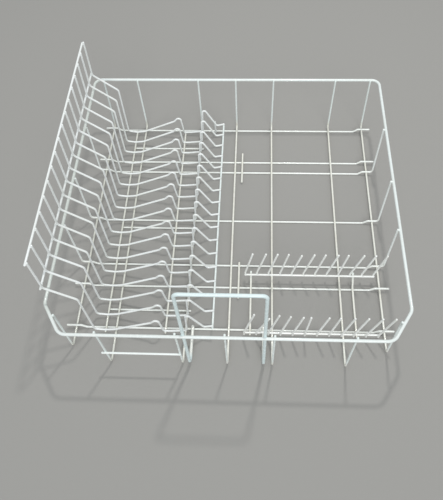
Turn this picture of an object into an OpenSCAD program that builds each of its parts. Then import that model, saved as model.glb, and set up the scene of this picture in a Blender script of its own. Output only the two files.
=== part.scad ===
// Lower basket of a dishwasher: a welded cage of plastic-coated wire.
// X runs across the basket, Y to its back and Z up, from the middle of its footprint.

/* [Wire] */
// Diameter of the coated wire that the cage is made of
wire_d = 3.4; // [3:0.1:3.8]
// Diameter of the coated rim wire
rim_d = 5; // [4.6:0.1:5.4]
// Diameter of the coated handle wire
handle_d = 5.2; // [4.8:0.1:5.6]
// Depth that crossing wires sink into each other at a weld
weld_sink = 0.05; // [0.02:0.01:0.1]

/* [Rim] */
// Width between the centres of the side rails
rim_width = 544; // [538:1:550]
// Depth between the centres of the front and back rails
rim_depth = 530; // [524:1:536]
// Height of the rim's centre above the ground
rim_z = 124.6; // [118:0.1:130]
// Bend radius of the back corners
back_corner_r = 14; // [10:1:18]
// Length that each slanted front corner takes off the side rail
chamfer_y = 48.5; // [44:0.5:52]
// Length that each slanted front corner takes off the front rail
chamfer_x = 30.6; // [28:0.1:34]
// Bend radius at both ends of a slanted corner
chamfer_r = 18; // [12:1:20]
// Height of a wire's end above the rim's centre
tip_rise = 3; // [2.5:0.1:4]

/* [Floor] */
// Distance from the middle to the outer pair of long wires
outer_long_x = 258.5; // [256:0.5:259]
// Inward lean of the outer pair's uprights, in degrees
outer_lean = 1.5; // [1:0.1:1.8]
// Distance from the middle to the second pair of long wires
second_long_x = 190; // [186:1:194]
// Distance from the middle to the third pair of long wires
third_long_x = 72.5; // [70:0.5:75]
// Bend radius at the foot of each upright
upright_r = 5.5; // [5:0.5:7]
// Distance from the middle to the end of each carrier stub
stub_x = 275; // [272:1:280]
// Distance from the middle at which a cross wire starts to step over the outer long wire
step_x = 242; // [238:1:244]
// Inward lean of the cross wires' uprights, in degrees
rise_lean = 0.8; // [0:0.1:1]

/* [Plate rack] */
// Number of bent wires in the plate rack
rack_count = 17; // [3:1:17]
// Distance between neighbouring rack wires
rack_pitch = 27.9; // [27.4:0.1:28.2]
// Distance of the rearmost rack wire behind the middle
rack_back_y = 239.3; // [237:0.1:241]
// Height of the rack's tall side above the ground
rack_top_z = 231.7; // [222:0.1:240]
// Distance from the middle to the tall side
rack_side_x = 264.2; // [262:0.1:265]

/* [Combs] */
// Number of prongs on each comb
prong_count = 12; // [4:1:12]
// Distance between neighbouring prongs
prong_pitch = 20.1; // [19.8:0.1:20.2]
// Distance of the first prong from the middle
prong_start_x = 25.9; // [25.6:0.1:26.2]
// Height of the front comb's prongs above the ground
front_prong_top = 80; // [70:1:90]
// Height of the rear comb's prongs above the ground
rear_prong_top = 86.6; // [76:0.1:96]
// Slope of the ramps that hold the rear comb, in degrees
ramp_angle = 37; // [34:1:40]

/* [Handle] */
// Half the distance between the handle's legs
handle_x = 59.5; // [57:0.1:61]
// Distance of the handle's middle to the right of the basket's
handle_shift = -1.2; // [-2:0.1:2]
// Height of the grip bar's centre above the ground
handle_z = 247.6; // [240:0.1:265]
// Backward lean of the handle, in degrees
handle_lean = 0.8; // [0:0.1:2]
// Bend radius at the ends of the grip bar
grip_r = 7; // [6:1:12]
// Bend radius where a leg turns under the basket
foot_r = 12; // [6:1:16]

/* [Hidden] */
$fn = 24;

cool_white = [0.78, 0.84, 0.86];
warm_white = [0.83, 0.82, 0.78];

// A bend is a hair thicker than the straight wire, and the straight wire runs a little way into it.
bend_swell = 0.04;
run_in = 0.08;
// The coating gathers in a small bead at each cut end.
bead_swell = 0.1;

// Distance between the centres of two crossing thin wires that are welded together
cross_gap = wire_d - weld_sink;
// Distance from a rim wire's centre to that of a thin wire welded to it
rim_gap = (rim_d + wire_d) / 2 - weld_sink;
// Distance from a handle wire's centre to that of a thin wire welded to it
handle_gap = (handle_d + wire_d) / 2 - weld_sink;

// Heights of the three layers of thin wire in the floor, of which the lowest stands on its beads
low_z = (wire_d + bead_swell) / 2;
mid_z = low_z + cross_gap;
high_z = mid_z + cross_gap;

side_x = rim_width / 2;
end_y = rim_depth / 2;
upright_y = end_y - rim_gap;
upright_top = rim_z + tip_rise;

// Places of the cross wires, from the back to the front
cross_ys = [249.8, 163.8, 137.7, 20.8, -75.8, -120.3, -199.9];
// Places of the long wires, from the left to the right
long_xs = [
    -outer_long_x, -second_long_x, -third_long_x, 0,
    third_long_x, second_long_x, outer_long_x
];
first_cross_y = cross_ys[0];
last_cross_y = cross_ys[6];

// Plate rack: its bars and the outline of one bent wire
left_bar_x = -207.9;
middle_bar_x = -106.4;
right_bar_x = -25.7;
rack_front_y = rack_back_y - 16 * rack_pitch;
bar_overhang = 3.8;
top_rail_overhang = 3;
shoulder_r = 9;
shoulder_x = -224.5;
shoulder_z = 121.6;
side_bend_z = 158;
side_bend_x = -rack_side_x - 2;
hump_r = 5;
second_hump_r = 3.8;
tail_slope = 15.3;
tail_end_x = -23.9;
tail_end_z = 32.8;
rack_floor_z = high_z - 0.07;
rack_outline = [
    [-rack_side_x, rack_top_z, 0],
    [side_bend_x, side_bend_z, shoulder_r],
    [shoulder_x, shoulder_z, shoulder_r],
    [-225.5, 11.3, 6],
    [left_bar_x, high_z - 0.31, 20],
    [-191.8, 10.1, 20],
    [-126.5, 39.6, 8],
    [-113.5, 54.5, hump_r],
    [-109, rack_floor_z, 4],
    [-95.5, rack_floor_z, 20],
    [-69.4, 11.6, 8],
    [-66.5, 79.1, second_hump_r],
    [-39.9, 28.5, 4],
    [tail_end_x, tail_end_z, 0]
];
// The right bar lies under the wires' tails.
right_bar_z = tail_end_z - (tail_end_x - right_bar_x) * tan(tail_slope) - cross_gap / cos(tail_slope);
// The top rail runs along the outside of the tall side, a little below its ends.
top_rail_z = rack_top_z - 4.8;
side_lean = atan(2 / (rack_top_z - side_bend_z));
top_rail_x = -rack_side_x - 4.8 * tan(side_lean) - cross_gap / cos(side_lean);
// The side rail lies against the outside of the lower bends.
side_turn = turn(rack_outline, 1);
side_bend_centre = [
    side_bend_x + shoulder_r * tan(side_turn / 2) * sin(side_lean) + shoulder_r * cos(side_lean),
    side_bend_z + shoulder_r * tan(side_turn / 2) * cos(side_lean) - shoulder_r * sin(side_lean)
];
side_rail_angle = 197;
side_rail_r = shoulder_r + cross_gap + bend_swell / 2;
rack_tie_ys = [200, 3.6, -166.6];

// Post that braces the rack's rearmost wire against the first cross wire
post_x = -43.8;
post_foot_z = 0.1;
post_top_z = 36.5;
post_weld_z = 35;

// Combs: sideways lean of every prong, and how far some stand above or below the rest
front_leans = [16.5, 20.5, 15.5, 13, 13, 4.5, 12.5, 10, 12, 13, 14.5, 14.5];
front_rises = [7, -7, 5, 2, 0, 0, 0, 0, 0, 0, 0, 0];
rear_leans = [12.5, 14.5, 13.5, 11.5, 13, 13.5, 11.5, 12.5, 8.5, 14, 13, 11.5];
rear_rises = [0, 0, 0, 0, -3, 0, 0, 0, 0, 0, 0, 0];
comb_end = 2;
prong_weld = 0.4;
prong_upright = 9.5;
prong_r = 5;
front_comb_y = last_cross_y - 7.1;
front_prong_foot = 6.6;
rear_prong_foot = 14.1;
comb_bar_xs = [35.6, 212.3];
comb_bar_front_y = front_comb_y - 3.8;
ramp_foot_y = -119;
ramp_length = 28;
rear_comb_y = ramp_foot_y + 15.2;
rear_comb_z = mid_z + 15.2 * tan(ramp_angle) + cross_gap / cos(ramp_angle);
// The front comb's bar steps over the handle wire that lies on the floor.
crank_half = 7;
crank_run = 4;

// Handle: it leans against the front rail's inside and runs back over the last cross wire.
handle_foot_z = low_z + handle_gap;
handle_rim_gap = (rim_d + handle_d) / 2 - weld_sink;
handle_foot_y = -end_y + handle_rim_gap / cos(handle_lean) - (rim_z - handle_foot_z) * tan(handle_lean);
handle_end_y = -194.5;
crank_z = handle_foot_z + handle_gap;

function heading(path, i) = atan2(path[i + 1][1] - path[i][1], path[i + 1][0] - path[i][0]);
function wrapped(angle) = angle > 180 ? angle - 360 : angle < -180 ? angle + 360 : angle;
function turn(path, i) = wrapped(heading(path, i) - heading(path, i - 1));
function is_end(path, i) = i == 0 || i == len(path) - 1;
// Length that the bend at a corner takes off each neighbouring straight
function bend_cut(path, i) = is_end(path, i) ? 0 : path[i][2] * tan(abs(turn(path, i)) / 2);
function span(path, i) = norm([path[i + 1][0] - path[i][0], path[i + 1][1] - path[i][1]]);

// A straight piece of wire along X
module straight(d, length) {
    rotate([0, 90, 0])
        cylinder(d = d, h = length);
}

// A bend in the XY plane that starts at the origin along X
module bend(d, radius, angle) {
    side = angle > 0 ? 1 : -1;
    translate([0, side * radius, 0])
        rotate(angle > 0 ? -90 : 90 + angle)
            rotate_extrude(angle = abs(angle))
                translate([radius, 0])
                    circle(d = d + bend_swell);
}

// The rounded end of a wire
module bead(d) {
    sphere(d = d + bead_swell);
}

// A bent wire in the XY plane through corners of the form [x, y, bend radius].
// Beaded ends stop at the first and last point, and plain ends run a little past them.
module wire(d, path, beaded = true) {
    last = len(path) - 1;
    end_cut = beaded ? (d + bead_swell) / 2 : 0;
    for (i = [0 : last - 1]) {
        cut = i == 0 ? end_cut : bend_cut(path, i);
        next_cut = i == last - 1 ? end_cut : bend_cut(path, i + 1);
        lead = beaded && i == 0 ? 0 : run_in;
        trail = beaded && i == last - 1 ? 0 : run_in;
        translate([path[i][0], path[i][1], 0])
            rotate(heading(path, i)) {
                translate([cut - lead, 0, 0])
                    straight(d, span(path, i) - cut - next_cut + lead + trail);
                if (beaded && i == 0)
                    translate([cut, 0, 0])
                        bead(d);
                if (beaded && i == last - 1)
                    translate([span(path, i) - next_cut, 0, 0])
                        bead(d);
            }
    }
    for (i = [1 : 1 : last - 1])
        translate([path[i][0], path[i][1], 0])
            rotate(heading(path, i - 1))
                translate([-bend_cut(path, i), 0, 0])
                    bend(d, path[i][2], turn(path, i));
}

// Stands a wire drawn in X and Z upright at a distance behind the middle
module across(y) {
    translate([0, y, 0])
        rotate([90, 0, 0])
            children();
}

// Stands a wire drawn in Y and Z upright at a distance right of the middle
module along(x) {
    translate([x, 0, 0])
        rotate([90, 0, 90])
            children();
}

// The rim: a closed loop with slanted front corners, made of two mirrored halves
module rim() {
    half = [
        [-run_in, end_y, 0],
        [side_x, end_y, back_corner_r],
        [side_x, -end_y + chamfer_y, chamfer_r],
        [side_x - chamfer_x, -end_y, chamfer_r],
        [-run_in, -end_y, 0]
    ];
    color(cool_white)
        translate([0, 0, rim_z])
            for (flip = [0, 1])
                mirror([flip, 0, 0])
                    wire(rim_d, half, beaded = false);
}

// The handle: a hoop that leans back inside the front rail, with legs that turn back on the floor
module handle() {
    foot_turn = 90 + handle_lean;
    foot_cut = foot_r * tan(foot_turn / 2);
    grip_rise = (handle_z - handle_foot_z) / cos(handle_lean);
    color(cool_white)
        translate([handle_shift, handle_foot_y, handle_foot_z]) {
            rotate([90 - handle_lean, 0, 0])
                wire(handle_d, [
                    [-handle_x, foot_cut, 0],
                    [-handle_x, grip_rise, grip_r],
                    [handle_x, grip_rise, grip_r],
                    [handle_x, foot_cut, 0]
                ], beaded = false);
            for (side = [-1, 1])
                along(side * handle_x) {
                    rotate(-foot_turn)
                        translate([-foot_cut, 0, 0])
                            bend(handle_d, foot_r, foot_turn);
                    translate([foot_cut - run_in, 0, 0])
                        straight(handle_d, handle_end_y - handle_foot_y - foot_cut + run_in - handle_d / 2);
                    translate([handle_end_y - handle_foot_y - handle_d / 2, 0, 0])
                        bead(handle_d);
                }
        }
}

// Y of an outer long wire's front upright, which stands against the slanted front corner
function chamfer_upright_y() =
    let (
        lean_in = (rim_z - mid_z) * tan(outer_lean),
        from_side = side_x - outer_long_x + lean_in,
        slant = norm([chamfer_x, chamfer_y])
    )
    -end_y + chamfer_y - from_side * chamfer_y / chamfer_x + rim_gap * slant / chamfer_x;

// A long wire: along the floor, and up at both ends to the rim's inside
module long_wire(i) {
    outer = i == 0 || i == 6;
    front_y = outer ? chamfer_upright_y() : -upright_y;
    lean = i == 0 ? outer_lean : i == 6 ? -outer_lean : 0;
    top = upright_top - mid_z;
    color(warm_white)
        translate([long_xs[i], 0, mid_z])
            rotate([0, lean, 0])
                rotate([90, 0, 90])
                    wire(wire_d, [
                        [front_y, top, 0],
                        [front_y, 0, upright_r],
                        [upright_y, 0, upright_r],
                        [upright_y, top, 0]
                    ]);
}

// A cross wire: under the long wires, with a step up and over the outer pair.
// Four of them end in carrier stubs, and the middle three rise to the rim.
module cross_wire(i) {
    rises = i >= 2 && i <= 4;
    rise_x = side_x - rim_gap - tip_rise * tan(rise_lean);
    foot_x = rise_x + (upright_top - high_z) * tan(rise_lean);
    over_x = step_x + 8;
    step_r = 4;
    right_end = rises
        ? [[foot_x, high_z, upright_r], [rise_x, upright_top, 0]]
        : [[stub_x, high_z, 0]];
    left_end = rises
        ? [[-rise_x, upright_top, 0], [-foot_x, high_z, upright_r]]
        : [[-stub_x, high_z, 0]];
    color(cool_white)
        across(cross_ys[i])
            wire(wire_d, concat(left_end, [
                [-over_x, high_z, step_r],
                [-step_x, low_z, step_r],
                [step_x, low_z, step_r],
                [over_x, high_z, step_r]
            ], right_end));
}

// A straight wire from front to back
module bar(x, z, front_y, back_y) {
    along(x)
        wire(wire_d, [[front_y, z, 0], [back_y, z, 0]]);
}

// A straight wire from left to right
module tie(y, z, left_x, right_x) {
    across(y)
        wire(wire_d, [[left_x, z, 0], [right_x, z, 0]]);
}

// One bent wire of the plate rack
module rack_wire(i) {
    color(cool_white)
        across(rack_back_y - i * rack_pitch)
            wire(wire_d, rack_outline);
}

module rack_bar_left() {
    color(warm_white)
        bar(left_bar_x, mid_z, rack_front_y - bar_overhang, rack_back_y + 5.7);
}

module rack_bar_middle() {
    color(warm_white)
        bar(middle_bar_x, mid_z, rack_front_y - bar_overhang, rack_back_y + bar_overhang);
}

module rack_bar_right() {
    color(warm_white)
        bar(right_bar_x, right_bar_z, rack_front_y - bar_overhang, rack_back_y + bar_overhang);
}

module rack_top_rail() {
    color(cool_white)
        bar(top_rail_x, top_rail_z, rack_front_y - top_rail_overhang, rack_back_y + bar_overhang);
}

module rack_side_rail() {
    color(cool_white)
        bar(
            side_bend_centre[0] + side_rail_r * cos(side_rail_angle),
            side_bend_centre[1] + side_rail_r * sin(side_rail_angle),
            rack_front_y - bar_overhang,
            rack_back_y + 8.7
        );
}

// A tie under the rack's bars and the long wires between them
module rack_tie(i) {
    color(cool_white)
        tie(rack_tie_ys[i], low_z, left_bar_x - 2.6, -third_long_x + 6.5);
}

// A tie across the front of two uprights
module front_tie() {
    color(cool_white)
        tie(-upright_y - cross_gap, mid_z + 46, -second_long_x - 6, -third_long_x + 1.8);
}

// A post from the first cross wire's front side to the rearmost rack wire's back side
module rack_post() {
    foot_y = first_cross_y - cross_gap;
    top_y = rack_back_y + cross_gap;
    lean = (top_y - foot_y) / (post_weld_z - low_z);
    color(cool_white)
        along(post_x)
            wire(wire_d, [
                [foot_y + (post_foot_z - low_z) * lean, post_foot_z, 0],
                [foot_y + (post_top_z - low_z) * lean, post_top_z, 0]
            ]);
}

// A short stay on two cross wires beside the middle long wire
module floor_stay(front_y, back_y) {
    color(warm_white)
        bar(14, mid_z, front_y, back_y);
}

// A bar that carries both combs, flat at the front and sloping up at the back
module comb_bar(x) {
    color(warm_white)
        along(x)
            wire(wire_d, [
                [comb_bar_front_y, mid_z, 0],
                [ramp_foot_y, mid_z, 8],
                [ramp_foot_y + ramp_length * cos(ramp_angle), mid_z + ramp_length * sin(ramp_angle), 0]
            ]);
}

// A row of prongs that rise straight and then lean to the right
module prongs(foot_z, top_z, leans, rises) {
    for (i = [0 : prong_count - 1]) {
        x = prong_start_x + i * prong_pitch;
        wire(wire_d, [
            [x, foot_z, 0],
            [x, foot_z + prong_upright, prong_r],
            [x + leans[i], top_z + rises[i], 0]
        ]);
    }
}

// The rear comb: a straight bar with prongs on its back side
module rear_comb() {
    last_x = prong_start_x + (prong_count - 1) * prong_pitch;
    color(cool_white) {
        tie(rear_comb_y, rear_comb_z, prong_start_x - comb_end, last_x + comb_end);
        across(rear_comb_y + wire_d - prong_weld)
            prongs(rear_prong_foot, rear_prong_top, rear_leans, rear_rises);
    }
}

// The front comb: a bar with prongs on its front side and a step over the handle wire
module front_comb() {
    last_x = prong_start_x + (prong_count - 1) * prong_pitch;
    crank_x = handle_shift + handle_x;
    step_r = 3.5;
    color(cool_white) {
        across(front_comb_y)
            wire(wire_d, [
                [prong_start_x - comb_end, high_z, 0],
                [crank_x - crank_half, high_z, step_r],
                [crank_x - crank_half + crank_run, crank_z, step_r],
                [crank_x + crank_half - crank_run, crank_z, step_r],
                [crank_x + crank_half, high_z, step_r],
                [last_x + comb_end, high_z, 0]
            ]);
        across(front_comb_y - wire_d + prong_weld)
            prongs(front_prong_foot, front_prong_top, front_leans, front_rises);
    }
}

rim();
handle();
for (i = [0 : 6])
    long_wire(i);
for (i = [0 : 6])
    cross_wire(i);
rack_bar_left();
rack_bar_middle();
rack_bar_right();
rack_top_rail();
rack_side_rail();
rack_tie(0);  // rack_tie_back
rack_tie(1);  // rack_tie_middle
rack_tie(2);  // rack_tie_front
front_tie();
rack_post();
floor_stay(111, 185.5);  // floor_stay_back
floor_stay(-142.8, -69.7);  // floor_stay_front
comb_bar(comb_bar_xs[0]);  // comb_bar_left
comb_bar(comb_bar_xs[1]);  // comb_bar_right
rear_comb();
front_comb();
for (i = [0 : rack_count - 1])
    rack_wire(i);
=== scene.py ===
import math
import random

import bmesh
import bpy
import numpy as np
from mathutils import Matrix, Vector


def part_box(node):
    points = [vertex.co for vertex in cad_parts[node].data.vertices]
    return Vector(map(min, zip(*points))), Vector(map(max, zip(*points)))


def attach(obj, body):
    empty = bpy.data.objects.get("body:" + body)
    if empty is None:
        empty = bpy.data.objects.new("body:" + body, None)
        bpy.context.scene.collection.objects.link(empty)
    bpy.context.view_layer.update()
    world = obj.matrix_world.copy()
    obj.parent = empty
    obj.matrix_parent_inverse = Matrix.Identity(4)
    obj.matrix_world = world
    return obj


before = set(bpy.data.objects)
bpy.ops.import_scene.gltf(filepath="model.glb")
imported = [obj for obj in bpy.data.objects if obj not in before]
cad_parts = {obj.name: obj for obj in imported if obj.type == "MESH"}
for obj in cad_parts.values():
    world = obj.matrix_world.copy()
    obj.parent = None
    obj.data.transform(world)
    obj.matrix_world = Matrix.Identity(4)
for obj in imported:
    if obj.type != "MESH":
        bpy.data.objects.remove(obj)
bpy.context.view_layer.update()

# The model is a dishwasher's lower basket. The frame's wires keep their shapes and get their
# coating here, and the welds get the coating that gathers round them. Metres, +Z up.


def pickSocket(sockets, key):
    if isinstance(key, int):
        return sockets[key]
    return next(s for s in sockets if key in (s.identifier, s.name))


class Signal:
    # one output socket that can be used in an expression
    def __init__(self, graph, socket):
        self.graph = graph
        self.socket = socket

    def math(self, operation, first, second):
        return self.graph.node("ShaderNodeMath", {"operation": operation}, {0: first, 1: second})

    def __add__(self, other):
        return self.math("ADD", self, other)

    def __radd__(self, other):
        return self.math("ADD", other, self)

    def __sub__(self, other):
        return self.math("SUBTRACT", self, other)

    def __rsub__(self, other):
        return self.math("SUBTRACT", other, self)

    def __mul__(self, other):
        return self.math("MULTIPLY", self, other)

    def __rmul__(self, other):
        return self.math("MULTIPLY", other, self)


class Graph:
    # a node tree that is filled through one method
    def __init__(self, owner):
        owner.use_nodes = True
        self.tree = owner.node_tree
        self.tree.nodes.clear()

    def node(self, kind, settings=None, inputs=None, output=0):
        made = self.tree.nodes.new(kind)
        for name, value in (settings or {}).items():
            setattr(made, name, value)
        for key, value in (inputs or {}).items():
            self.feed(pickSocket(made.inputs, key), value)
        if made.outputs:
            return Signal(self, pickSocket(made.outputs, output))

    def feed(self, socket, value):
        if isinstance(value, Signal):
            self.tree.links.new(value.socket, socket)
        else:
            socket.default_value = value

    def noise(self, place, size, octaves, roughness=0.5):
        # size is the width of one lump in metres
        return self.node(
            "ShaderNodeTexNoise",
            {"noise_dimensions": "3D"},
            {"Vector": place, "Scale": 1 / size, "Detail": octaves, "Roughness": roughness},
            "Fac",
        )

    def axis(self, vector, letter):
        return self.node("ShaderNodeSeparateXYZ", inputs={"Vector": vector}, output=letter)

    def between(self, signal, low, high):
        # 0 at low, 1 at high, smooth in between
        return self.node(
            "ShaderNodeMapRange",
            {"interpolation_type": "SMOOTHSTEP"},
            {"Value": signal, "From Min": low, "From Max": high},
        )

    def bump(self, relief, strength, height, under=None):
        inputs = {"Strength": strength, "Distance": height, "Height": relief}
        if under:
            inputs["Normal"] = under
        return self.node("ShaderNodeBump", inputs=inputs, output="Normal")

    def mix(self, factor, first, second):
        return self.node(
            "ShaderNodeMix",
            {"data_type": "RGBA"},
            {"Factor_Float": factor, "A_Color": first, "B_Color": second},
            "Result_Color",
        )


def colour(red, green, blue):
    return (red, green, blue, 1)


# Colours are linear. The floor's wires are creamier than those that stand up, and so are the
# handle's ends, which lie on the floor: painted floor reflection on the lying wires, painted
# cool sky light on the standing ones, and painted shade on the handle's ends under the basket.
# The rim's left rail and the floor under the plate rack are greyer: painted shade of the rack,
# partly the coating's own greyer tint. Edges are the places in X between which that begins.
coatings = {
    "rim_coating": {
        "fresh": colour(0.77, 0.83, 0.82),
        "agedAndShade": colour(0.73, 0.77, 0.74),
        # painted shade of the plate rack on the left rail, partly its own greyer tint
        "rackShadeAndTint": colour(0.61, 0.65, 0.61),
        "rackShadeAndTintEdges": (-0.256, -0.268),
    },
    "handle_coating": {
        "fresh": colour(0.72, 0.84, 0.85),
        "agedAndShade": colour(0.70, 0.81, 0.81),
        # painted shade and floor reflection on the handle's ends under the basket
        "paintedShadeBeneath": colour(0.78, 0.76, 0.69),
    },
    "floor_coating": {
        "fresh": colour(0.83, 0.835, 0.77),
        "agedAndShade": colour(0.74, 0.725, 0.635),
        # painted shade of the plate rack on the floor wires under it, partly their own greyer
        # tint
        "rackShadeAndTint": colour(0.63, 0.64, 0.58),
        "rackShadeAndTintEdges": (-0.05, -0.17),
        # painted cool sky light on the floor wires where they stand up
        "upright": colour(0.79, 0.88, 0.88),
    },
    "cross_coating": {
        "fresh": colour(0.87, 0.90, 0.87),
        "agedAndShade": colour(0.81, 0.83, 0.78),
        # painted cool sky light on the cross wires where they stand up
        "upright": colour(0.86, 0.91, 0.90),
    },
    "comb_coating": {"fresh": colour(0.89, 0.91, 0.89), "agedAndShade": colour(0.83, 0.84, 0.80)},
    "rack_coating": {"fresh": colour(0.84, 0.87, 0.87), "agedAndShade": colour(0.78, 0.81, 0.78)},
}
# Sizes are in metres, and a share is how far a mask reaches at its strongest.
coatDetail = {
    "octaves": {"patch": 3, "sag": 2, "skin": 1, "mark": 4, "gather": 1},
    "patchSize": 0.055,      # slow drift in the coating's tint
    "patchEdges": (0.38, 0.66),
    "patchShare": 0.55,
    "sagSize": 0.007,        # lumps where the wet coating has run
    "sagMiddle": 0.5,
    "sagShare": 0.22,
    "sagBase": 0.05,
    "sagStrength": 0.2,
    "sagHeight": 0.00018,
    "skinSize": 0.0011,      # fine orange peel
    "skinStrength": 0.25,
    "skinHeight": 0.00004,
    "facesUp": (0.2, 0.9),   # rise of the surface between which a wire counts as facing up
    "markSize": 0.016,       # dried water marks, where a wire faces up
    "markRoughness": 0.62,
    "markEdges": (0.56, 0.68),
    "markShare": 0.35,
    "markCoatLoss": 0.6,
    "markColour": colour(0.86, 0.86, 0.84),
    "speckSpacing": 0.009,   # tiny dark specks, which gather in some stretches
    "speckEdges": (0.085, 0.05),
    "speckGather": 0.03,
    "gatherEdges": (0.50, 0.60),
    "speckShare": 0.6,
    "speckPit": 0.6,
    "speckColour": colour(0.40, 0.35, 0.27),
    "risenFrom": 0.008,      # heights between which a wire counts as standing up
    "risenTo": 0.030,
    "undersideShadeShare": 0.16,      # painted shade: the lowest wires are darker on their undersides
    "paintedShadeBeneathFrom": -0.2555,  # places in Y between which the handle's ends run in along the floor and get painted shade
    "paintedShadeBeneathTo": -0.242,
    "turnShare": 0.8,
    "roughness": 0.27,
    "sagRoughness": 0.10,    # what lumps, marks and specks add to the roughness
    "markedRoughness": 0.12,
    "speckRoughness": 0.3,
    "coatWeight": 0.35,
    "coatRoughness": 0.10,
    "refraction": 1.5,
}


def coatWire(name, look, detail):
    finish = bpy.data.materials.get(name) or bpy.data.materials.new(name)
    graph = Graph(finish)
    place = graph.node("ShaderNodeTexCoord", output="Object")
    upward = graph.axis(graph.node("ShaderNodeNewGeometry", output="Normal"), "Z")
    risen = graph.between(graph.axis(place, "Z"), detail["risenFrom"], detail["risenTo"])
    facingUp = graph.between(upward, *detail["facesUp"])
    octaves = detail["octaves"]
    drift = graph.noise(place, detail["patchSize"], octaves["patch"])
    patch = graph.between(drift, *detail["patchEdges"])
    sag = graph.noise(place, detail["sagSize"], octaves["sag"])
    lumps = sag - detail["sagMiddle"]
    skin = graph.noise(place, detail["skinSize"], octaves["skin"])
    spots = graph.noise(place, detail["markSize"], octaves["mark"], detail["markRoughness"])
    marks = graph.between(spots, *detail["markEdges"])
    stretches = graph.noise(place, detail["speckGather"], octaves["gather"])
    gathered = graph.between(stretches, *detail["gatherEdges"])
    speckDistance = graph.node(
        "ShaderNodeTexVoronoi",
        {"feature": "F1"},
        {"Vector": place, "Scale": 1 / detail["speckSpacing"], "Randomness": 1.0},
        "Distance",
    )
    specks = graph.between(speckDistance, *detail["speckEdges"]) * gathered

    tint = graph.mix(patch * detail["patchShare"], look["fresh"], look["agedAndShade"])
    # painted shade of the plate rack on the left rail and floor wires under it, partly their own
    # greyer tint
    if "rackShadeAndTint" in look:
        side = graph.between(graph.axis(place, "X"), *look["rackShadeAndTintEdges"])
        tint = graph.mix(side * detail["turnShare"], tint, look["rackShadeAndTint"])
    # painted light: standing wires bluer, as lit by cool sky light, than the creamier lying ones
    if "upright" in look:
        tint = graph.mix(risen * detail["turnShare"], tint, look["upright"])
    # painted shade and floor reflection on the handle's ends where they lie under the basket
    if "paintedShadeBeneath" in look:
        reach = graph.between(graph.axis(place, "Y"), detail["paintedShadeBeneathFrom"], detail["paintedShadeBeneathTo"])
        tint = graph.mix(reach * detail["turnShare"], tint, look["paintedShadeBeneath"])
    tint = graph.mix(marks * facingUp * detail["markShare"], tint, detail["markColour"])
    # painted shade: darker undersides on the lowest wires, in the aged colour
    tint = graph.mix((1 - facingUp) * (1 - risen) * detail["undersideShadeShare"], tint, look["agedAndShade"])
    tint = graph.mix(lumps * detail["sagShare"] + detail["sagBase"], tint, look["agedAndShade"])
    tint = graph.mix(specks * detail["speckShare"], tint, detail["speckColour"])

    roughness = (
        detail["roughness"]
        + lumps * detail["sagRoughness"]
        + marks * detail["markedRoughness"]
        + specks * detail["speckRoughness"]
    )
    coat = detail["coatWeight"] * (1 - marks * detail["markCoatLoss"])
    relief = graph.bump(sag, detail["sagStrength"], detail["sagHeight"])
    pitted = skin + specks * detail["speckPit"]
    relief = graph.bump(pitted, detail["skinStrength"], detail["skinHeight"], relief)
    shader = graph.node(
        "ShaderNodeBsdfPrincipled",
        inputs={
            "Base Color": tint,
            "Roughness": roughness,
            "Coat Weight": coat,
            "Coat Roughness": detail["coatRoughness"],
            "IOR": detail["refraction"],
            "Normal": relief,
        },
        output="BSDF",
    )
    graph.node("ShaderNodeOutputMaterial", inputs={"Surface": shader})
    return finish


finishes = {name: coatWire(name + "_dip", look, coatDetail) for name, look in coatings.items()}
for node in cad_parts.values():
    for materialSlot in node.material_slots:
        slotName = materialSlot.material.name.split(".")[0]
        materialSlot.material = finishes[slotName]
print("coating put on", len(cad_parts), "wires and combs")


weldLook = {
    "reach": 0.0038,        # from the contact to where the gathered coating ends
    "web": 0.0014,          # width of the web between two thin wires
    "proud": 0.00003,       # thickness over the wires
    "lumps": 0.00004,       # unevenness of the web
    "waves": 900,           # how closely its lumps follow each other
    "fadeFrom": 0.45,       # share of the reach at which the skin starts to sink into the wires
    "fadePower": 2.2,
    "fadeDepth": 0.003,
    "webSpread": (0.85, 1.2),   # how much the webs and reaches differ from weld to weld
    "reachSpread": (0.95, 1.1),
    "ballDivisions": 4,     # how fine the mesh of one weld is
    "steps": 64,            # how finely the skin is searched
    "variants": 4,
    "firstSeed": 11,
    "thin": 0.0017,         # radii of the wires
    "rim": 0.0025,
    "handle": 0.0026,
}


across, back, up = Vector((1, 0, 0)), Vector((0, 1, 0)), Vector((0, 0, 1))


def makeBall():
    mesh = bmesh.new()
    bmesh.ops.create_icosphere(mesh, subdivisions=weldLook["ballDivisions"], radius=1)
    points = np.array([v.co for v in mesh.verts])
    faces = np.array([[v.index for v in f.verts] for f in mesh.faces])
    mesh.free()
    return points / np.linalg.norm(points, axis=1)[:, None], faces


ballPoints, ballFaces = makeBall()


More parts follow.
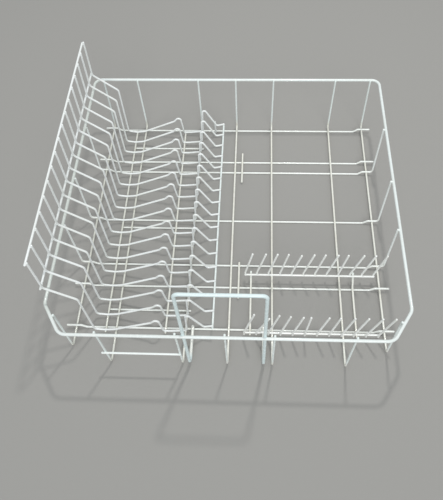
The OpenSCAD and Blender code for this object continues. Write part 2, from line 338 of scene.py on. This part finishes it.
def weldShell(lower, upper, lowerEnds, upperEnds, seed):
    # skin over a wire along X under the contact and one along Y over it, from the contact out
    rng = np.random.default_rng(seed)
    size = (lower + upper) / (2 * weldLook["thin"])
    web = weldLook["web"] * rng.uniform(*weldLook["webSpread"]) * size
    reach = weldLook["reach"] * rng.uniform(*weldLook["reachSpread"]) * size
    waves = rng.normal(size=(3, 3)) * weldLook["waves"]
    phases = rng.uniform(0, 2 * math.pi, 3)
    fadeFrom = weldLook["fadeFrom"]

    def wire(along, aside, rise, ends, radius):
        past = along - np.clip(along, *ends)
        return np.sqrt(past ** 2 + aside ** 2 + rise ** 2) - radius

    def skin(p, distance):
        one = wire(p[:, 0], p[:, 1], p[:, 2] + lower, lowerEnds, lower)
        two = wire(p[:, 1], p[:, 0], p[:, 2] - upper, upperEnds, upper)
        share = np.clip(0.5 + 0.5 * (two - one) / web, 0, 1)
        soft = two * (1 - share) + one * share - web * share * (1 - share)
        lumps = np.sin(p @ waves.T + phases).sum(axis=1) / 3 * weldLook["lumps"]
        fade = np.clip(distance / reach - fadeFrom, 0, 1) / (1 - fadeFrom)
        sunk = fade ** weldLook["fadePower"] * weldLook["fadeDepth"]
        return soft - weldLook["proud"] - lumps * (1 - fade) + sunk

    steps = weldLook["steps"]
    far = np.full(len(ballPoints), reach)
    inside = np.ones(len(ballPoints), bool)
    before = skin(ballPoints * 0, 0.0)
    for k in range(1, steps + 1):
        distance = reach * k / steps
        now = skin(ballPoints * distance, distance)
        crossed = inside & (now > 0)
        share = before / np.minimum(before - now, -1e-12)
        far[crossed] = (distance - reach / steps * (1 - share))[crossed]
        inside &= ~crossed
        before = now
    return ballPoints * far[:, None]


shells = {}


def shellFor(*key):
    if key not in shells:
        lower, upper, lowerEnds, upperEnds, variant = key
        radii = weldLook[lower], weldLook[upper]
        seed = weldLook["firstSeed"] + variant
        shells[key] = weldShell(*radii, lowerEnds, upperEnds, seed)
    return shells[key]


endless = (-1.0, 1.0)   # a wire that runs on both ways
# How far past a weld the middle of a wire's rounded end lies, negative where it stops short
pastWeld = {
    "rackTie": 0.00085,
    "frontTie": 0.00005,
    "upright": 0.00125,
    "rackRail": 0.00125,
    "rackTail": 0.00011,
    "postFoot": -0.0001,
    "postTop": -0.00025,
    "combBar": 0.00025,
    "prongFoot": 0.0001,
}


def endsBefore(length):
    return (-length, endless[1])


def endsAfter(length):
    return (endless[0], length)


class Welds:
    # gathers the shells of one piece
    def __init__(self, name, slot, seed):
        self.name, self.slot = name, slot
        self.points, self.faces = [], []
        self.random = random.Random(seed)

    def add(self, contact, lowerAlong, upperAlong, lower="thin", upper="thin", towards=up,
            lowerEnds=endless, upperEnds=endless):
        # towards points from the lower wire to the upper one, and the ends are the centres of
        # the wires' rounded ends, measured along each wire from the contact
        first, second = lowerAlong.normalized(), upperAlong.normalized()
        normal = first.cross(second).normalized()
        if normal.dot(towards) < 0:
            first, normal = -first, -normal
            lowerEnds = (-lowerEnds[1], -lowerEnds[0])
        second = normal.cross(first)
        variant = self.random.randrange(weldLook["variants"])
        shell = shellFor(lower, upper, lowerEnds, upperEnds, variant)
        if lowerEnds == upperEnds == endless and self.random.random() < 0.5:
            shell = shell * np.array([-1, -1, 1])
        start = len(self.points) * len(ballPoints)
        turn = np.array([first, second, normal])
        self.points.append(shell @ turn + np.array(contact))
        self.faces.append(ballFaces + start)

    def build(self):
        mesh = bpy.data.meshes.new(self.name)
        points = np.concatenate(self.points)
        faces = np.concatenate(self.faces)
        mesh.from_pydata(points.tolist(), [], faces.tolist())
        mesh.shade_smooth()
        mesh.update()
        piece = bpy.data.objects.new(self.name, mesh)
        bpy.context.scene.collection.objects.link(piece)
        mesh.materials.append(finishes[self.slot])
        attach(piece, "root")
        print(self.name, len(self.points), "welds", len(faces), "triangles")


def middle(node):
    low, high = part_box(node)
    return (low + high) / 2


thin, rimRadius, handleRadius = weldLook["thin"], weldLook["rim"], weldLook["handle"]
sink = 0.00005  # how deep two wires sit in each other at a weld
half = thin - sink / 2  # from the middle of a thin wire to a weld
lowFloor, midFloor, highFloor = 0.00175, 0.0051, 0.00845   # heights of the three wire layers
rim = {
    "z": 0.1246, "side": 0.272, "end": 0.265, "cutY": 0.0485, "cutX": 0.0306,
    "outerLean": 1.5,       # inward lean of the outer long wires' uprights, in degrees
}

crossYs = [middle("cross_wire_%d" % k).y for k in range(1, 8)]
innerXs = [middle("long_wire_%d" % k).x for k in range(2, 7)]
outerX = 0.2585
rackYs = [middle("rack_wire_%d" % k).y for k in range(1, 18)]
leftBar, middleBar, rightBar = (middle("rack_bar_" + k) for k in ("left", "middle", "right"))

# Floor: cross wires under the long ones, and over the outer pair
floorWelds = Welds("floor_weld_coating", "floor_coating", 3)
for y in crossYs:
    for x in innerXs:
        floorWelds.add((x, y, (lowFloor + midFloor) / 2), across, back)
    for x in (-outerX, outerX):
        floorWelds.add((x, y, (midFloor + highFloor) / 2), back, across)
    for bar in (leftBar, middleBar):
        if y < rackYs[0]:
            floorWelds.add((bar.x, y, (lowFloor + midFloor) / 2), across, back)
for k in ("back", "middle", "front"):
    tie = middle("rack_tie_" + k)
    for x in (leftBar.x, middleBar.x, innerXs[0], innerXs[1]):
        ends = endsBefore(pastWeld["rackTie"]) if x == leftBar.x else endless
        floorWelds.add((x, tie.y, (lowFloor + midFloor) / 2), across, back, lowerEnds=ends)
stayX = middle("floor_stay_back").x
for y in (crossYs[1], crossYs[2], crossYs[4], crossYs[5]):
    floorWelds.add((stayX, y, (lowFloor + midFloor) / 2), across, back)
frontTie = middle("front_tie")
for x, ends in ((innerXs[0], endless), (innerXs[1], endsAfter(pastWeld["frontTie"]))):
    place = (x, frontTie.y + half, frontTie.z)
    floorWelds.add(place, across, up, towards=back, lowerEnds=ends)
combBars = [middle("comb_bar_" + k) for k in ("left", "right")]
for bar in combBars:
    floorWelds.add((bar.x, crossYs[6], (lowFloor + midFloor) / 2), across, back)
floorWelds.build()

# Rim: the ends of the long and cross wires inside it
rimWelds = Welds("rim_weld_coating", "rim_coating", 5)
inset = rimRadius - sink / 2
tip = endsAfter(pastWeld["upright"])
for x in innerXs:
    for end in (-1, 1):
        place = (x, end * (rim["end"] - inset), rim["z"])
        rimWelds.add(place, across, up, "rim", towards=back * -end, upperEnds=tip)
for side in (-1, 1):
    for k in (3, 4, 5):
        y = middle("cross_wire_%d" % k).y
        place = (side * (rim["side"] - inset), y, rim["z"])
        rimWelds.add(place, back, up, "rim", towards=across * -side, upperEnds=tip)
    leanIn = (rim["z"] - midFloor) * math.tan(math.radians(rim["outerLean"]))
    x = outerX - leanIn
    place = (side * x, rim["end"] - inset, rim["z"])
    rimWelds.add(place, across, up, "rim", towards=-back, upperEnds=tip)
    slant = Vector((side * rim["cutX"], rim["cutY"], 0)).normalized()
    inward = Vector((-side * rim["cutY"], rim["cutX"], 0)).normalized()
    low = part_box("long_wire_7")[0]
    place = Vector((side * x, low.y + thin, rim["z"])) - inward * (thin - sink / 2)
    rimWelds.add(place, slant, up, "rim", towards=inward, upperEnds=tip)
rimWelds.build()

# Handle: leaning against the front rail's inside, and its ends over the last cross wire
handleLow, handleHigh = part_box("handle")
handleXs = handleLow.x + handleRadius, handleHigh.x - handleRadius
handleLean = math.radians(0.8)
leg = Vector((0, math.sin(handleLean), math.cos(handleLean)))
legInside = Vector((0, leg.z, -leg.y))
handleWelds = Welds("handle_weld_coating", "handle_coating", 7)
for x in handleXs:
    place = Vector((x, -rim["end"], rim["z"])) + legInside * inset
    handleWelds.add(place, across, leg, "rim", "handle", towards=back)
    place = (x, crossYs[6], lowFloor + half)
    handleWelds.add(place, across, back, "thin", "handle")
handleWelds.build()

# Plate rack: floor bars, rails and the post
rackWelds = Welds("rack_weld_coating", "rack_coating", 9)
rack = {
    "tailSlope": 15.3,      # degrees
    "sideRail": 197,        # place of the side rail around the lower bends, in degrees
    "tallSide": (2, 73.7),  # run and rise of the tall side
    "hump": (26.6, 0, -50.6),
    "postWeld": 0.035,      # height of the post's upper weld
}
topRail, sideRail = middle("rack_top_rail"), middle("rack_side_rail")
tailSlope = math.radians(rack["tailSlope"])
tail = Vector((math.cos(tailSlope), 0, math.sin(tailSlope)))
tailUp = Vector((-tail.z, 0, tail.x))
sideAngle = math.radians(rack["sideRail"])
sideOut = Vector((math.cos(sideAngle), 0, math.sin(sideAngle)))
sideAlong = Vector((-sideOut.z, 0, sideOut.x))
sideLean = math.atan2(*rack["tallSide"])
tallSide = Vector((math.sin(sideLean), 0, math.cos(sideLean)))
for y in rackYs:
    here = Vector((0, y, 0))
    railEnds = endsBefore(pastWeld["rackRail"]) if y == rackYs[16] else endless
    for bar in (leftBar, middleBar):
        rackWelds.add(here + Vector((bar.x, 0, bar.z + half)), back, across)
    place = here + Vector((rightBar.x, 0, rightBar.z)) + tailUp * half
    ends = endsAfter(pastWeld["rackTail"])
    rackWelds.add(place, back, tail, towards=tailUp, upperEnds=ends)
    place = here + Vector((topRail.x + half, 0, topRail.z))
    rackWelds.add(place, back, tallSide, towards=across, lowerEnds=railEnds)
    place = here + Vector((sideRail.x, 0, sideRail.z)) - sideOut * half
    rackWelds.add(place, back, sideAlong, towards=-sideOut)
hump = Vector(rack["hump"]).normalized()
post = middle("rack_post")
place = (post.x, crossYs[0] - half, lowFloor)
rackWelds.add(place, across, up, towards=-back, upperEnds=endsBefore(pastWeld["postFoot"]))
place = (post.x, rackYs[0] + half, rack["postWeld"])
rackWelds.add(place, hump, up, towards=back, upperEnds=endsAfter(pastWeld["postTop"]))
rackWelds.build()

# Combs: their prongs, and the bars that carry them
combWelds = Welds("comb_weld_coating", "comb_coating", 13)
prongs = {"count": 12, "first": 0.0259, "pitch": 0.0201, "step": 0.0015}
combs = {
    "beforeCross": 0.0071,  # from the last cross wire to the front comb's bar
    "rampFoot": -0.119,
    "rampRun": 0.0152,      # from there to the rear comb's bar
    "rampAngle": 37,        # degrees
}
frontBar = {"y": crossYs[6] - combs["beforeCross"], "z": highFloor}
rampAngle = math.radians(combs["rampAngle"])
ramp = Vector((0, math.cos(rampAngle), math.sin(rampAngle)))
rampUp = Vector((0, -ramp.z, ramp.y))
rearBar = {
    "y": combs["rampFoot"] + combs["rampRun"],
    "z": midFloor + combs["rampRun"] * math.tan(rampAngle) + 2 * half / math.cos(rampAngle),
}
for k in range(prongs["count"]):
    x = prongs["first"] + k * prongs["pitch"]
    barEnds = endless
    if k == 0:
        barEnds = endsBefore(pastWeld["combBar"])
    if k == prongs["count"] - 1:
        barEnds = endsAfter(pastWeld["combBar"])
    place = (x, rearBar["y"] + prongs["step"], rearBar["z"])
    combWelds.add(place, across, up, towards=back, lowerEnds=barEnds)
    place = (x, frontBar["y"] - prongs["step"], frontBar["z"])
    foot = endsBefore(pastWeld["prongFoot"])
    combWelds.add(place, across, up, towards=-back, lowerEnds=barEnds, upperEnds=foot)
for bar in combBars:
    place = Vector((bar.x, rearBar["y"], rearBar["z"])) - rampUp * half
    combWelds.add(place, ramp, across, towards=rampUp)
for x in (combBars[0].x, combBars[1].x, innerXs[3], innerXs[4]):
    combWelds.add((x, frontBar["y"], (midFloor + highFloor) / 2), back, across)
# the right handle end lies on the cross wire, and the front bar's crank on that end
handleTop = lowFloor + thin + 2 * handleRadius - 1.5 * sink
combWelds.add((handleXs[1], frontBar["y"], handleTop), back, across, "handle", "thin")
combWelds.build()


studio = {
    "floorColour": colour(0.32, 0.315, 0.30),
    "floorRoughness": 0.85,
    "floorHalf": 14,
    "backdropColour": colour(0.40, 0.395, 0.38),
    "backdropStrength": 1.0,
    "backdropRays": ("Is Camera Ray", "Is Glossy Ray", "Is Transmission Ray"),
    "fillColour": colour(0.95, 0.98, 1.0),
    "fillStrength": 0.66,
}
# towards is the direction from the basket to a lamp
lamps = {
    "key_panel": {
        "towards": (0.229, 0.565, 1.890), "away": 1.99, "size": 0.12,
        "power": 10.5, "colour": (1.0, 0.985, 0.96),
    },
    "front_panel": {
        "towards": (0.10, -0.80, 0.60), "away": 11, "size": 7,
        "power": 540, "colour": (1.0, 1.0, 1.0),
    },
}


def makeFloor():
    mesh = bpy.data.meshes.new("studio_floor")
    far = studio["floorHalf"]
    corners = [(-far, -far, 0), (far, -far, 0), (far, far, 0), (-far, far, 0)]
    mesh.from_pydata(corners, [], [(0, 1, 2, 3)])
    floor = bpy.data.objects.new("studio_floor", mesh)
    bpy.context.scene.collection.objects.link(floor)
    paint = bpy.data.materials.new("studio_floor_paint")
    graph = Graph(paint)
    shader = graph.node(
        "ShaderNodeBsdfPrincipled",
        inputs={"Base Color": studio["floorColour"], "Roughness": studio["floorRoughness"]},
        output="BSDF",
    )
    graph.node("ShaderNodeOutputMaterial", inputs={"Surface": shader})
    mesh.materials.append(paint)


def makeLamp(name, look):
    direction = Vector(look["towards"]).normalized()
    lamp = bpy.data.lights.new(name, "AREA")
    lamp.shape = "DISK"
    lamp.size = look["size"]
    lamp.energy = look["power"]
    lamp.color = look["colour"]
    panel = bpy.data.objects.new(name, lamp)
    panel.location = direction * look["away"]
    panel.rotation_euler = direction.to_track_quat("Z", "Y").to_euler()
    bpy.context.scene.collection.objects.link(panel)


def makeWorld():
    world = bpy.data.worlds.new("studio_world")
    bpy.context.scene.world = world
    graph = Graph(world)
    fill = graph.node(
        "ShaderNodeBackground",
        inputs={"Color": studio["fillColour"], "Strength": studio["fillStrength"]},
    )
    backdrop = graph.node(
        "ShaderNodeBackground",
        inputs={"Color": studio["backdropColour"], "Strength": studio["backdropStrength"]},
    )
    rays = [graph.node("ShaderNodeLightPath", output=name) for name in studio["backdropRays"]]
    mixed = graph.node("ShaderNodeMixShader", inputs={0: sum(rays), 1: fill, 2: backdrop})
    graph.node("ShaderNodeOutputWorld", inputs={"Surface": mixed})


photoView = {
    "place": (0.04091188, -0.56389814, 0.85985051),
    "right": (0.99900173, 0.03467013, -0.02816955),
    "up": (-0.01568147, 0.86263765, 0.50557926),
    "lens": 39.4941,
    "sensor": 36,
    "shift": (-0.019573, 0.018008),
    "clip": (0.01, 50),
}


def makeCamera():
    data = bpy.data.cameras.new("photo_camera")
    data.sensor_width = photoView["sensor"]
    data.lens = photoView["lens"]
    data.shift_x, data.shift_y = photoView["shift"]
    data.clip_start, data.clip_end = photoView["clip"]
    camera = bpy.data.objects.new("photo_camera", data)
    right, top = Vector(photoView["right"]), Vector(photoView["up"])
    turn = Matrix((right, top, right.cross(top))).transposed()
    camera.matrix_world = Matrix.Translation(photoView["place"]) @ turn.to_4x4()
    bpy.context.scene.collection.objects.link(camera)
    bpy.context.scene.camera = camera


makeFloor()
for lampName, lampLook in lamps.items():
    makeLamp(lampName, lampLook)
makeWorld()
makeCamera()
bpy.context.scene.view_settings.view_transform = "Standard"
print("floor, light and camera stand")
